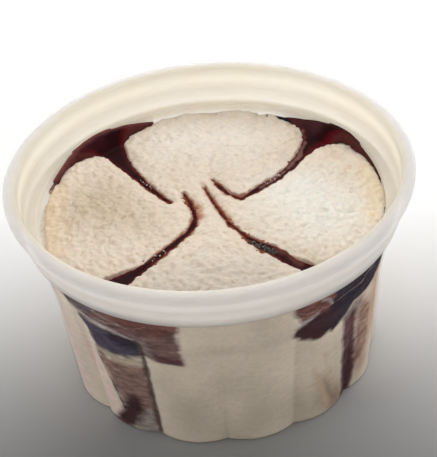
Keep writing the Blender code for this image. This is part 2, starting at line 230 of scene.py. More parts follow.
# What each ribbon leaves on the wall: colour, softness in mm, and an outline of azimuths and depths
INK = (0.028, 0.019, 0.034)
NAVY = (0.074, 0.058, 0.086)
LAVENDER = (0.135, 0.100, 0.115)
MAROON = (0.050, 0.017, 0.022)
WINE = (0.130, 0.054, 0.062)
MAUVE = (0.190, 0.108, 0.100)
MULBERRY = (0.044, 0.020, 0.029)
CHESTNUT = (0.165, 0.068, 0.058)
# Painted shadow along a flute's groove
GROOVE_SHADOW = (0.105, 0.064, 0.058)
UMBER = (0.240, 0.148, 0.122)
ASH = (0.300, 0.250, 0.225)
# Painted highlight, a pale streak on the food behind the wall
GLINT = (0.450, 0.390, 0.380)
RUST = (0.330, 0.205, 0.150)
WALL_AREAS = {
    "sauce_front_left": [
        (MAUVE, 0.5, [(204, 10), (206, 13), (214, 16), (223, 17.4), (232, 18), (242, 18.8), (243, 10)]),
        (LAVENDER, 0.8, [(203, 10), (206, 13), (214, 16.2), (222, 17.2), (227, 14), (214, 10)]),
        (MAUVE, 0.7, [(239, 10), (255.4, 10), (256, 24.4), (249, 24.7), (241.4, 24.2)]),
        (CHESTNUT, 1.2, [(229, 10), (231, 14.4), (240, 15.8), (249, 16.8), (256, 14.6), (256, 10)]),
        (WINE, 0.7, [(246, 22.8), (256, 23), (256.2, 24.6), (247, 24.5)]),
        (ASH, 1.6, [(241.8, 18.6), (244.4, 18.6), (244.8, 23.6), (242, 23.8)]),
        (NAVY, 0.9, [(218.4, 18), (223, 17.8), (232, 18.2), (241.6, 18.8), (241.8, 25), (236, 26),
                     (229, 26.6), (223, 26.2), (219.6, 23.8)]),
        (INK, 1.2, [(231, 18.8), (235, 18.8), (241, 19.2), (241.2, 21.6), (236, 22.8), (231, 22)]),
        (UMBER, 0.9, [(222, 27), (228, 28.4), (242.2, 28.8), (242.4, 42.4), (230.6, 42.4), (227, 37)]),
        (ASH, 0.9, [(234, 43.4), (241.8, 42.4), (242.2, 50.3), (234, 50.3)]),
        (MAROON, 1.4, [(232.4, 38.8), (235.2, 37.8), (237.6, 38.4), (238, 43), (235.6, 46.4),
                       (232, 50.3), (220, 50.3), (225.2, 47.2), (229.4, 43.2)]),
    ],
    "sauce_front_right": [
        (CHESTNUT, 0.6, [(293.2, 10), (292.8, 14.8), (296, 17.6), (305, 18.6), (311, 17), (314, 10)]),
        (MAROON, 0.5, [(292.4, 18.6), (297, 17.9), (303, 17.2), (308, 17.6), (309, 22.8), (303, 24.8),
                       (297, 23.8), (293.2, 21.6)]),
        (INK, 0.5, [(305.4, 17.6), (309, 13.6), (314, 10), (352, 10), (346, 14.2), (338, 17.4),
                    (329, 20.2), (320, 21.6), (313, 23.4), (307.5, 24.8), (305.4, 22)]),
        (MULBERRY, 1.2, [(303.6, 17.8), (309.6, 17), (309.4, 23.6), (303.8, 24.2)]),
        (ASH, 1.3, [(313.6, 23.6), (323.4, 21.6), (325.4, 24.4), (319.4, 26.4), (314.4, 26)]),
        (RUST, 1.7, [(322.8, 27), (327, 25.4), (330.6, 29), (330, 36), (326.6, 42), (322.6, 42)]),
        (UMBER, 1.5, [(323, 31), (325.4, 30), (326, 41), (323.4, 43)]),
        (WINE, 0.9, [(314.2, 24.6), (321.4, 24.8), (322.4, 36), (323, 46), (321, 50), (317, 50),
                     (314.8, 40)]),
        (MAROON, 1.3, [(315.6, 36), (322, 35), (322.8, 45), (321.2, 50), (317.6, 50), (316, 44)]),
    ],
    "sauce_back_right": [
        (CHESTNUT, 0.6, [(2, 10), (10, 14), (20, 17.2), (32, 18.4), (48, 17.6), (60, 15.4), (68, 10)]),
        (INK, 0.5, [(30.4, 17.8), (34, 14.2), (38, 10), (64, 10), (60, 13.8), (53, 17.4), (47, 20.6),
                    (41, 23.8), (34, 24.9), (30.8, 22.4)]),
        (MULBERRY, 1.2, [(30.2, 18.4), (36, 17.4), (36.6, 24), (31, 24)]),
        (ASH, 1.3, [(41.6, 23), (50, 20.4), (51, 24.4), (45.4, 26.4), (42, 26.2)]),
        (RUST, 1.7, [(48.8, 27), (53, 25.4), (56.4, 30), (55, 38), (51.6, 43), (48.8, 42)]),
        (WINE, 0.9, [(42, 24.6), (48.6, 24.4), (49.6, 36), (49.4, 46), (48, 50), (43.6, 50), (41.8, 38)]),
        (MAROON, 1.3, [(42.8, 35), (49, 34), (49.2, 45), (47.6, 50), (44, 50), (42.6, 44)]),
    ],
    "sauce_back_left": [
        (MAUVE, 0.7, [(110, 10), (116, 14.6), (126, 17.6), (140, 18), (152, 15.8), (163, 10)]),
        (CHESTNUT, 1.2, [(116, 10), (122, 14.4), (136, 15.6), (150, 13), (154, 10)]),
        (NAVY, 0.9, [(121.4, 18.2), (130, 17.8), (145.4, 18.4), (147, 22.4), (141.6, 25.4), (132, 26.2),
                     (124.6, 24.6)]),
        (INK, 1.2, [(123.6, 19), (130, 18.8), (136, 19.4), (133.6, 22.8), (126, 22.6)]),
        (UMBER, 0.9, [(123.4, 28), (136, 28.4), (142.6, 27.6), (140.4, 37), (138, 43), (124.4, 43)]),
        (ASH, 0.9, [(124.2, 43), (133, 43.4), (133, 50.3), (124.6, 50.3)]),
        (MAROON, 1.4, [(128.6, 38.8), (133, 37.8), (136.6, 38.6), (139.6, 43.6), (144, 47.6),
                       (147.6, 50.3), (134, 50.3), (129.6, 46.2)]),
    ],
}
# Thin lines on the wall, streaks of sauce, painted highlights and a painted groove shadow: colour, softness,
# and strokes of azimuth, depth and half-width in mm
WALL_LINES = [
    # Painted highlights: pale streaks along the band's lower edge and beside the sauce
    (GLINT, 0.35, [(222.5, 17.2, 0.1), (229.5, 17.7, 0.3), (234, 18, 0.3), (239.8, 18.8, 0.1)]),
    (GLINT, 0.35, [(226, 14.4, 0.1), (231, 15.4, 0.2), (236, 15.6, 0.1)]),
    (MAROON, 0.5, [(207, 13.9, 0.1), (214, 16.6, 0.3), (221, 17.7, 0.2)]),
    (MAROON, 0.5, [(221.4, 28, 0.15), (224.4, 33, 0.35), (227.4, 38.4, 0.45), (230, 44, 0.4)]),
    # Painted shadow down the flute's groove
    (GROOVE_SHADOW, 0.5, [(241.4, 19, 0.3), (241.9, 26, 0.6), (242.1, 37, 0.7), (242.4, 50.2, 0.6)]),
    # Painted highlights
    (GLINT, 0.35, [(294.2, 18.2, 0.3), (297.4, 17.2, 0.45), (301.4, 16.6, 0.25)]),
    (GLINT, 0.35, [(303, 13.6, 0.1), (306, 14.6, 0.2), (307, 16.2, 0.1)]),
    (GLINT, 0.35, [(323.4, 26, 0.05), (323, 31, 0.2), (323.4, 36, 0.1)]),
    (GLINT, 0.35, [(28, 16.6, 0.2), (34, 16, 0.4), (40, 15.8, 0.2)]),
    (GLINT, 0.35, [(130, 16.6, 0.2), (136, 16.4, 0.35), (141, 17, 0.2)]),
]
# Soft stains that the gelato carries on its side, and one painted highlight: colour, strength, softness, and
# strokes in the same terms
SIDE_STAINS_AND_HIGHLIGHT = [
    ((0.62, 0.48, 0.44), 0.8, 3.4, [(200, 18, 4), (204, 44, 5)]),
    # A pink streak down a flute's lobe: pink of its own, and lighter as a painted highlight
    ((0.70, 0.53, 0.48), 0.9, 1.2, [(216.6, 27, 1.4), (219, 34, 2), (223, 42, 2.2), (226, 47, 1.6)]),
    ((0.48, 0.40, 0.29), 0.9, 0.7, [(225, 27.2, 0.5), (232, 27.6, 1), (240.6, 27.4, 1.3)]),
    ((0.66, 0.46, 0.40), 0.6, 1, [(212.6, 21, 0.4), (215, 30, 0.8), (216.4, 40, 0.4)]),
    ((0.21, 0.135, 0.075), 0.9, 4, [(305, 39, 1.2), (309, 45, 3.2), (313, 49, 3.4)]),
    ((0.58, 0.40, 0.28), 0.7, 0.8, [(301, 34, 0.3), (307, 47, 0.9)]),
    ((0.58, 0.40, 0.28), 0.6, 0.8, [(305, 31, 0.3), (310, 44, 0.6)]),
    ((0.60, 0.46, 0.36), 0.6, 0.8, [(309.4, 27, 0.3), (312.6, 42, 0.5)]),
    ((0.38, 0.215, 0.145), 0.85, 3, [(322, 22, 1.6), (329, 30, 3.8), (327, 44, 2.6)]),
    ((0.44, 0.265, 0.175), 0.9, 3.4, [(335, 18, 2.6), (337, 36, 3.4)]),
    ((0.52, 0.38, 0.28), 0.5, 3, [(60, 30, 3), (64, 44, 2.4)]),
    ((0.55, 0.40, 0.30), 0.5, 3.2, [(150, 28, 2.4), (146, 42, 3)]),
]
# Soft stains on its top, and light and shade painted there: colour, strength, softness in mm, and strokes of
# x, y and half-width
TOP_STAINS_AND_PAINTED_LIGHT = [
    # Painted light and shade: the left petal darker as painted shade and yellower as the cream's own colour,
    # the right petal and the back lighter as painted light, the front darker as painted shade
    ((0.64, 0.52, 0.37), 0.90, 9, [(-26, 4, 9), (-16, -4, 3)]),
    ((0.93, 0.89, 0.80), 0.90, 8, [(26, -8, 9), (20, 2, 9)]),
    ((0.93, 0.86, 0.76), 0.70, 8, [(-6, 28, 7), (8, 26, 7)]),
    ((0.66, 0.58, 0.49), 0.90, 9, [(-9, -31, 9), (7, -31, 9)]),
    ((0.92, 0.66, 0.38), 0.50, 4, [(-35, 12, 1), (-36.4, 3, 1.4), (-35, -10, 1.2)]),
    ((0.92, 0.72, 0.38), 0.50, 3.4, [(36, 9, 1), (37.4, 0, 1.4), (35, -11, 1)]),
    # Painted light: a bright white rim along the left edge, where the lit inner wall glows
    ((0.98, 0.96, 0.90), 1.00, 0.7, [(-37, 13.4, 0.2), (-39.2, 4, 0.8), (-39, -5, 0.9),
                                     (-36.6, -13.4, 0.3)]),
    ((0.50, 0.17, 0.06), 0.80, 0.7, [(-4.2, 3.4, 0.4), (-2.9, -1, 0.8), (-2.8, -4, 0.8)]),
    ((0.50, 0.17, 0.06), 0.70, 0.7, [(-1.6, 8.8, 0.3), (0.2, 3.4, 0.6), (2.4, -2, 0.6), (4.2, -6, 0.5)]),
    ((0.50, 0.20, 0.09), 0.60, 0.7, [(3, 4.4, 0.5), (6.4, 2.6, 0.7), (10.6, 5, 0.6)]),
]
# Lighter and redder places in the sauce, in the same terms, and reflections painted on it
POOL_TINTS_AND_REFLECTIONS = [
    # Painted reflection: the cup's wall mirrored, brownish, in the upper part of the back right pool
    ((0.072, 0.026, 0.028), 0.9, 2.2, [(23.4, 31.4, 1.6), (27, 28.8, 2.8), (29.6, 28.4, 1.6)]),
    ((0.105, 0.006, 0.010), 0.9, 1.1, [(22.9, 17.9, 0.4), (25.8, 21.2, 0.9), (28.6, 22.6, 0.8),
                                       (31.8, 22.6, 0.3)]),
    ((0.046, 0.010, 0.014), 0.8, 2, [(-26, 29.6, 2), (-31, 25, 0.6)]),
    # Painted highlight: a light streak along the back right line
    ((0.220, 0.115, 0.095), 0.9, 0.4, [(11.6, 6, 0.2), (14, 7.9, 0.4), (18.4, 12.2, 0.3),
                                       (21.9, 18.6, 0.4), (23.6, 24.4, 0.35), (23.4, 28, 0.1)]),
    ((0.150, 0.045, 0.035), 0.8, 0.9, [(11.6, -15.4, 0.4), (15.4, -19.4, 0.9), (18, -22.4, 0.8)]),
]
# The film at a pool's outer edge: how far, in mm, it takes to turn from thin to dark, its strength and colour
FILMS = {
    "sauce_front_left": (1, 0.5, (0.110, 0.040, 0.035)),
    "sauce_front_right": (1, 0.5, (0.110, 0.040, 0.035)),
    "sauce_back_right": (1.2, 0.6, (0.045, 0.012, 0.014)),
    "sauce_back_left": (1.8, 0.8, (0.240, 0.080, 0.072)),
}
# Bubbles and painted glints caught in a ribbon: colour, number, least and greatest radius, and a stroke of x,
# y and half-width
BUBBLES_AND_GLINTS = {
    # The pale ones are painted highlights, glints on the wet sauce; the dark ones have the sauce's own colour
    "sauce_front_left": [((0.75, 0.68, 0.62), 9, 0.12, 0.20, [(-14.6, -17.8, 0.6), (-10.6, -14.2, 0.5)])],
    "sauce_front_right": [
        ((0.10, 0.085, 0.075), 60, 0.14, 0.34, [(7.6, -13.9, 0.3), (10, -16.5, 0.8), (12.8, -19, 0.6)]),
        ((0.66, 0.58, 0.52), 18, 0.09, 0.16, [(8.4, -14.8, 0.5), (12.6, -18.6, 0.7)]),
    ],
    "sauce_back_right": [((0.55, 0.45, 0.42), 14, 0.12, 0.22, [(12.6, 6.9, 0.5), (17, 10.8, 0.4)])],
    "sauce_back_left": [((0.45, 0.36, 0.33), 9, 0.12, 0.24, [(-16.4, 14.4, 0.5), (-13, 8.6, 0.3)])],
}

# Colours of the cream and the syrup
CREAM = (0.84, 0.73, 0.605)
CREAM_DEEP = (0.80, 0.68, 0.54)
WALL_CREAM = (0.835, 0.72, 0.585)
# Painted shade: the side's cream is darkened towards the foot with this colour
WALL_CREAM_SHADED = (0.50, 0.43, 0.34)
SYRUP = (0.022, 0.005, 0.006)
SYRUP_RED = (0.080, 0.008, 0.012)
SYRUP_THIN = (0.290, 0.095, 0.045)
SYRUP_THIN_POOL = (0.085, 0.022, 0.020)
BUBBLE_RINGS = 6
BUBBLE_SIDES = 9


def height_at(depth):
    """Height, in mm, of a point that lies a depth below the mouth."""
    return CUP_HEIGHT - depth


def mix(a, b, share):
    return a + (b - a) * share


def smooth(low, high, value):
    """0 up to low and 1 from high on, with a smooth rise between."""
    share = np.clip((value - low) / (high - low), 0, 1)
    return share * share * (3 - 2 * share)


def lobe(azimuth):
    """0 in a groove between two flutes, 1 on the middle of a flute."""
    return np.abs(np.sin(np.radians(azimuth - GROOVE_ANGLE) * FLUTES / 2)) ** LOBE_POWER


def fluted_radius(height, azimuth):
    """Outer radius of the fluted body, which narrows straight from the band to the foot."""
    share = 1 - height / height_at(BAND_DEPTH)
    crest = mix(BAND_FOOT_RADIUS - FLUTE_STEP, BASE_RADIUS, share)
    groove = mix(GROOVE_TOP, GROOVE_BASE, share)
    return crest - groove * (1 - lobe(azimuth))


def wall_radius(height, azimuth):
    """Outer radius of the wall below the collar."""
    share = (height - height_at(BAND_DEPTH)) / (BAND_DEPTH - COLLAR_DEPTH)
    band = mix(BAND_FOOT_RADIUS, BAND_TOP_RADIUS, share)
    return mix(fluted_radius(height, azimuth), band, smooth(-BAND_BLEND, 0.3, height - height_at(BAND_DEPTH)))


def columns(count, start=GROOVE_ANGLE):
    return start + 360 * np.arange(count) / count


def polar(radius, azimuth, height):
    """Points in metres at radii and heights in mm."""
    turn = np.radians(azimuth)
    flat = np.ones_like(turn)
    return np.stack([radius * np.cos(turn), radius * np.sin(turn), height * flat], -1) * MM


def from_axis(spots):
    return np.linalg.norm(spots, axis=1)


def azimuth_of(spots):
    return np.degrees(np.arctan2(spots[:, 1], spots[:, 0])) % 360


def rounded(corners):
    """A line through corners (radius, height, rounding in mm), with an arc at each corner."""
    line = []
    for n, (r, z, size) in enumerate(corners):
        here = Vector((r, z))
        if size == 0 or n in (0, len(corners) - 1):
            line.append((r, z))
            continue
        before = (Vector(corners[n - 1][:2]) - here).normalized()
        after = (Vector(corners[n + 1][:2]) - here).normalized()
        half = before.angle(after) / 2
        reach = size / math.tan(half)
        middle = here + (before + after).normalized() * size / math.sin(half)
        start = here + before * reach - middle
        turn = (here + after * reach - middle).angle_signed(start)
        steps = max(2, round(abs(turn) / math.radians(ARC_STEP)))
        for step in range(steps + 1):
            spoke = start.copy()
            spoke.rotate(Matrix.Rotation(turn * step / steps, 2))
            line.append(tuple(middle + spoke))
    return line


def new_piece(name, points, faces, looks, node=None):
    """A smooth-shaded mesh of points in metres. Given a CAD node, it rides on the cup and replaces it."""
    data = bpy.data.meshes.new(name)
    data.from_pydata([tuple(p) for p in points], [], faces)
    data.validate()
    data.shade_smooth()
    data.materials.append(looks)
    piece = bpy.data.objects.new(name, data)
    bpy.context.scene.collection.objects.link(piece)
    if node:
        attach(piece, "root")
        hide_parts(node)
    return piece


def paint(piece, colours):
    """Gives each point of a mesh its own colour, and a share of streaks as its alpha, for the material."""
    tint = piece.data.color_attributes.new("tint", "FLOAT_COLOR", "POINT")
    tint.data.foreach_set("color", colours.ravel())


def unstreaked(colours):
    return np.column_stack([colours, np.zeros(len(colours))])


def ring_faces(first, count, rings):
    """Quads between rings of count points each, the first of which starts at index first."""
    faces = []
    for ring in range(rings - 1):
        low = first + ring * count
        for n in range(count):
            after = (n + 1) % count
            faces.append((low + n, low + after, low + count + after, low + count + n))
    return faces


def segment_distance(spots, stroke):
    """Distance from each spot to a stroke of changing half-width, negative inside it."""
    stroke = np.array(stroke, float)
    start, end = stroke[:-1], stroke[1:]
    span = end[:, :2] - start[:, :2]
    away = spots[:, None] - start[None, :, :2]
    share = np.clip((away * span).sum(2) / (span**2).sum(1), 0, 1)
    gap = np.linalg.norm(away - span * share[..., None], axis=2)
    return (gap - mix(start[:, 2], end[:, 2], share)).min(1)


def blended(distances, blend):
    """The union of several distances, with a fillet between them."""
    total = distances[0]
    for other in distances[1:]:
        total = -blend * np.logaddexp(-total / blend, -other / blend)
    return total


def ripple(spots, scale, seed):
    """Smooth noise from -1 to 1 at spots in mm, with waves of about the given scale."""
    shift = Vector((seed * 17.3, seed * 7.7, seed * 3.1))
    return np.array([noise.noise(Vector((x, y, 0)) / scale + shift) for x, y in spots])


def ripples(spots, layers):
    return sum(ripple(spots, scale, seed) * size for scale, seed, size in layers)


def top_distance(name, spots):
    """Distance in plan to the ragged edge of a ribbon of sauce, negative inside it."""
    strokes = [segment_distance(spots, stroke) for stroke in TOP_STROKES[name]]
    return blended(strokes, CORNER_BLEND) + ripples(spots, TOP_EDGES) * EDGE_RAGGEDNESS


def side_spots(azimuth, depth):
    """Places on the wall as mm round it and mm down it."""
    return np.stack([np.radians(azimuth % 360) * BAND_FOOT_RADIUS, depth], -1)


def side_stroke(stroke):
    return [(math.radians(azimuth) * BAND_FOOT_RADIUS, depth, half) for azimuth, depth, half in stroke]


def side_outline(corners):
    return np.array([(math.radians(azimuth) * BAND_FOOT_RADIUS, depth) for azimuth, depth in corners])


def outline_distance(spots, corners):
    """Distance from each spot to a closed outline, negative inside it."""
    following = np.roll(corners, -1, axis=0)
    span = following - corners
    away = spots[:, None] - corners
    share = np.clip((away * span).sum(2) / (span**2).sum(1), 0, 1)
    gap = np.linalg.norm(away - span * share[..., None], axis=2).min(1)
    height = np.where(span[:, 1] == 0, 1, span[:, 1])
    crossed = (corners[:, 1] > spots[:, 1:]) != (following[:, 1] > spots[:, 1:])
    crossed &= away[..., 0] < span[:, 0] * away[..., 1] / height
    return np.where(crossed.sum(1) % 2 == 1, -gap, gap)


def side_distance(name, spots):
    """Distance on the wall to the edge of what a ribbon leaves there, negative inside it."""
    outlines = [outline_distance(spots, side_outline(corners)) for _, _, corners in WALL_AREAS[name]]
    return np.min(outlines, axis=0) + ripples(spots * STREAK_SQUEEZE, WALL_EDGES) - FILM_EDGE


def stains_and_painted_light(colours, spots, stains, ragged):
    """Colours with soft stains, painted light and painted shade over them, each a colour, strength, softness
    and stroke.
    """
    for colour, strength, soft, stroke in stains:
        share = strength * (1 - smooth(-soft, soft, segment_distance(spots, stroke) + ragged))
        colours = mix(colours, np.array(colour), share[:, None])
    return colours


def side_colours(spots):
    """Colour of the food behind the wall, and how streaky it is: cream with painted shade towards the foot,
    its stains, a painted highlight, the sauce, and thin lines with painted highlights and a painted groove
    shadow.
    """
    # Painted shade: the cream darkens towards the cup's foot
    patchy = ripple(spots, 9.0, 4) * 0.35 + 0.2 + smooth(16, 48, spots[:, 1]) * 0.6
    colours = mix(np.array(WALL_CREAM), np.array(WALL_CREAM_SHADED), patchy[:, None])
    colours = np.column_stack([colours, np.full(len(spots), CREAM_STREAKS)])
    streaks = spots * STREAK_SQUEEZE
    ragged = ripples(streaks, WALL_EDGES)
    mottle = (1 + ripples(streaks, WALL_MOTTLE))[:, None]
    stains = []
    for colour, strength, soft, stroke in SIDE_STAINS_AND_HIGHLIGHT:
        stains.append(((*colour, STAIN_STREAKS), strength, soft, side_stroke(stroke)))
    colours = stains_and_painted_light(colours, spots, stains, ragged)
    for marks in WALL_AREAS.values():
        for colour, soft, corners in marks:
            share = 1 - smooth(-soft, soft, outline_distance(spots, side_outline(corners)) + ragged)
            mark = np.column_stack([np.array(colour) * mottle, np.ones(len(spots))])
            colours = mix(colours, mark, share[:, None])
    # Streaks of sauce, painted highlights and a painted groove shadow
    for colour, soft, stroke in WALL_LINES:
        share = 1 - smooth(-soft, soft, segment_distance(spots, side_stroke(stroke)) + ragged * 0.5)
        colours[:, :3] = mix(colours[:, :3], np.array(colour), share[:, None])
    return colours


def relief(spots):
    """Height in mm of the gelato's lumps, pores and creases."""
    heights = []
    for x, y in spots:
        height = sum(noise.noise(Vector((x, y, part)) / scale) * size for part, scale, size in RELIEF_WAVES)
        pore = noise.voronoi(Vector((x, y, 0.0)) / PORE_SCALE)[0][0]
        crease = max(0.0, 1 - abs(noise.noise(Vector((x, y, 21.0)) / CREASE_SCALE)) / CREASE_WIDTH)
        crease *= smooth(-0.05, 0.25, noise.noise(Vector((x, y, 27.0)) / CREASE_SPACING))
        height -= PORE_DEPTH * max(0.0, PORE_SIZE - pore) / PORE_SIZE
        heights.append(height - CREASE_DEPTH * crease)
    return np.array(heights)


def hump(azimuth, middle, spread, size):
    return np.exp(-(((azimuth - middle) / spread) ** 2)) * size


def gelato_top(spots, edges):
    """Height of the gelato in mm, where edges is each spot's distance to the nearest ribbon."""
    radius = from_axis(spots)
    reach = BAND_TOP_RADIUS - WALL
    crown = CROWN * (1 - (radius / reach) ** 2)
    swell = ripple(spots, SWELL_SCALE, 7) * SWELL
    azimuth = azimuth_of(spots)
    signed = (azimuth + 180) % 360 - 180
    back = smooth(*BACK_BEGINS, signed) * (1 - smooth(*BACK_ENDS, signed))
    slope = EDGE_DROP - back * EDGE_DROP + ripple(spots, 5.0, 8) * 0.3
    at_wall = slope * np.exp(-(reach - radius).clip(0, None) / EDGE_SOFTNESS)
    touching = smooth(*TOUCHING, radius + hump(azimuth, *DRAWN_BACK) - reach)
    at_wall += (WALL_DROP - back * WALL_RISE_AT_BACK) * touching
    shoulder = SHOULDER_DROP * np.exp(-(edges.clip(0, None) / SHOULDER_SOFTNESS) ** 1.5)
    groove = GROOVE_DEPTH * smooth(*GROOVE_EDGES, edges)
    bulge = sum(hump(signed, *one) for one in BULGES)
    at_wall -= bulge * smooth(*BULGE_RADII, radius) * (1 - touching)
    return height_at(GELATO_DEPTH) + crown + swell + relief(spots) - at_wall - shoulder - groove


def climbed(name, spots):
    """How much of the way to the ledge the sauce has climbed at the wall, and how far out it reaches."""
    azimuths, shares, laps = zip(*CLIMBS[name])
    azimuth = azimuth_of(spots)
    lap = sum(np.interp(azimuth + turn, azimuths, laps) for turn in SPREAD) / len(SPREAD)
    lap = lap + ripple(spots, 3.0, 17) * 0.2
    return np.interp(azimuth, azimuths, shares), BAND_TOP_RADIUS - FILM_INSET + (lap - 0.2).clip(0, None)


def sauce_top(name, spots, edges):
    """Height of the sauce in mm: a line fills its groove, a pool lies lower and climbs the wall."""
    radius = from_axis(spots)
    pool = smooth(*POOL_RADII, radius)
    level = height_at(mix(LINE_DEPTH, POOL_DEPTH, pool))
    rope = ROPE_HEIGHT * smooth(*ROPE_EDGES, edges) * (1 - pool)
    waves = ripple(spots, 2.4, 9) * 0.10 + ripple(spots, 1.0, 10) * 0.05 * (1 - pool)
    share = climbed(name, spots)[0] * smooth(*CLIMB_RADII, radius)
    return mix(level + rope + waves, height_at(LEDGE_DEPTH) + LAP_HEIGHT, share)


def disc_grid(cells):
    """A square grid of cells laid on the unit disc, so that the cells stay about equal in size."""
    step = np.linspace(-1, 1, cells + 1)
    u, v = np.meshgrid(step, step, indexing="ij")
    wide = np.abs(u) > np.abs(v)
    big, small = np.where(wide, u, v), np.where(wide, v, u)
    part = math.pi / 4 * small / np.where(big == 0, 1, big)
    turn = np.where(wide, part, math.pi / 2 - part)
    turn = turn + math.radians(GROOVE_ANGLE + 45)
    spots = np.stack([big * np.cos(turn), big * np.sin(turn)], -1).reshape(-1, 2)
    side = cells + 1
    faces = [(i * side + j, (i + 1) * side + j, (i + 1) * side + j + 1, i * side + j + 1)
             for i in range(cells) for j in range(cells)]
    border = [(i, 0) for i in range(cells)] + [(cells, j) for j in range(cells)]
    border += [(i, cells) for i in range(cells, 0, -1)] + [(0, j) for j in range(cells, 0, -1)]
    # The walk starts at the corner (-1, -1); the one that lies on the groove is (1, -1)
    start = border.index((cells, 0))
    border = border[start:] + border[:start]
    return spots, faces, [i * side + j for i, j in border]


def make_gelato(looks):
    """The gelato: a top with petals, grooves and pores, and a side that follows the cup's flutes."""
    rim = BAND_TOP_RADIUS - FOOD_INSET
    disc, faces, border = disc_grid(TOP_CELLS)
    spots = disc * rim
    edges = np.min([top_distance(name, spots) for name in TOP_STROKES], axis=0)
    heights = gelato_top(spots, edges)
    top = np.column_stack([spots, heights]) * MM
    colours = unstreaked(top_colours(spots, edges))
    count = len(border) // 2
    first = len(top)
    around = columns(count)
    edge_heights = heights[border[::2]]
    colours[border] = side_colours(side_spots(azimuth_of(spots[border]), height_at(heights[border])))
    rows = []
    tints = []
    for row in range(SIDE_ROWS + 1):
        share = (row + 0.5) / (SIDE_ROWS + 0.5)
        height = mix(edge_heights, FOOD_FOOT, share)
        rows.append(polar(wall_radius(height, around) - FOOD_INSET, around, height))
        tints.append(side_colours(side_spots(around, height_at(height))))
    for n in range(count):
        low, high = first + n, first + (n + 1) % count
        a, b, c = border[2 * n], border[2 * n + 1], border[(2 * n + 2) % len(border)]
        faces += [(a, low, b), (b, low, high), (b, high, c)]
    for beyond, height in ((0.8, FOOD_FOOT), (-0.4, FOOT_RECESS + FOOD_FOOT)):
        rows.append(polar(FOOT_RING_INNER + beyond, around, height))
        tints.append(tints[-1])
    side = np.concatenate(rows)
    faces += [tuple(reversed(face)) for face in ring_faces(first, count, len(rows))]
    floor = first + (len(rows) - 1) * count
    faces.append(tuple(range(floor, floor + count))[::-1])
    piece = new_piece("gelato_body", np.concatenate([top, side]), faces, looks, "gelato")
    paint(piece, np.concatenate([colours, *tints]))


def top_colours(spots, edges):
    """Colour of the gelato's top: cream, warmer at the wall, with painted light and painted shade over its
    petals and a painted bright rim at the left wall, and syrup stains beside the thin lines of sauce.
    """
    patchy = (ripple(spots, 7.0, 12) * 0.5 + 0.5)[:, None] * 0.8
    ragged = ripples(spots, TOP_STAIN_EDGES)
    # The cream gets its stains and the painted light and shade of its top
    colours = stains_and_painted_light(mix(np.array(CREAM), np.array(CREAM_DEEP), patchy), spots, TOP_STAINS_AND_PAINTED_LIGHT, ragged)
    middle = 1 - smooth(16, 26, from_axis(spots))
    wet = (1 - smooth(0.0, mix(0.12, 0.55, middle), edges + ragged * 0.4 * middle)) * mix(0.5, 0.8, middle)
    return mix(colours, np.array(SYRUP_THIN), wet[:, None])


def closed_patch(low, high, cell, field, front, back):
    """A closed body over the part of a plan where field is negative: its front, its back and the edge."""
    us, vs = (np.arange(a, b + cell, cell) for a, b in zip(low, high))
    grid = np.stack(np.meshgrid(us, vs, indexing="ij"), -1)
    shape = grid.shape[:2]
    value = field(grid.reshape(-1, 2)).reshape(shape)
    slope = np.stack(np.gradient(value, cell), -1)
    near = value < cell * 0.6
    kept = near[:-1, :-1] & near[1:, :-1] & near[1:, 1:] & near[:-1, 1:]
    uses = np.zeros(shape, int)
    for i, j in ((0, 0), (1, 0), (1, 1), (0, 1)):
        uses[i:shape[0] - 1 + i, j:shape[1] - 1 + j] += kept
    # Points on the rim are moved onto the edge itself
    rim = (uses > 0) & (uses < 4)
    steep = (slope**2).sum(-1).clip(0.25, None)
    move = slope * (value / steep)[..., None]
    grid = np.where(rim[..., None], grid - move, grid)
    index = -np.ones(shape, int)
    index[uses > 0] = np.arange((uses > 0).sum())
    spots = grid[uses > 0]
    count = len(spots)
    faces = []
    edges = set()
    for i, j in np.argwhere(kept):
        face = [int(index[i, j]), int(index[i + 1, j]), int(index[i + 1, j + 1]), int(index[i, j + 1])]
        faces.append(tuple(face))
        faces.append(tuple(n + count for n in reversed(face)))
        for a, b in zip(face, face[1:] + face[:1]):
            if (b, a) in edges:
                edges.remove((b, a))
            else:
                edges.add((a, b))
    faces += [(b, a, a + count, b + count) for a, b in sorted(edges)]
    return spots, np.concatenate([front(spots), back(spots)]), faces


def shell(inset):
    """Carries places on the wall to points in metres, an inset in mm inside its outer face."""
    def place(spots):
        azimuth = np.degrees(spots[:, 0] / BAND_FOOT_RADIUS)
        height = height_at(spots[:, 1])
        return polar(wall_radius(height, azimuth) - inset, azimuth, height)
    return place


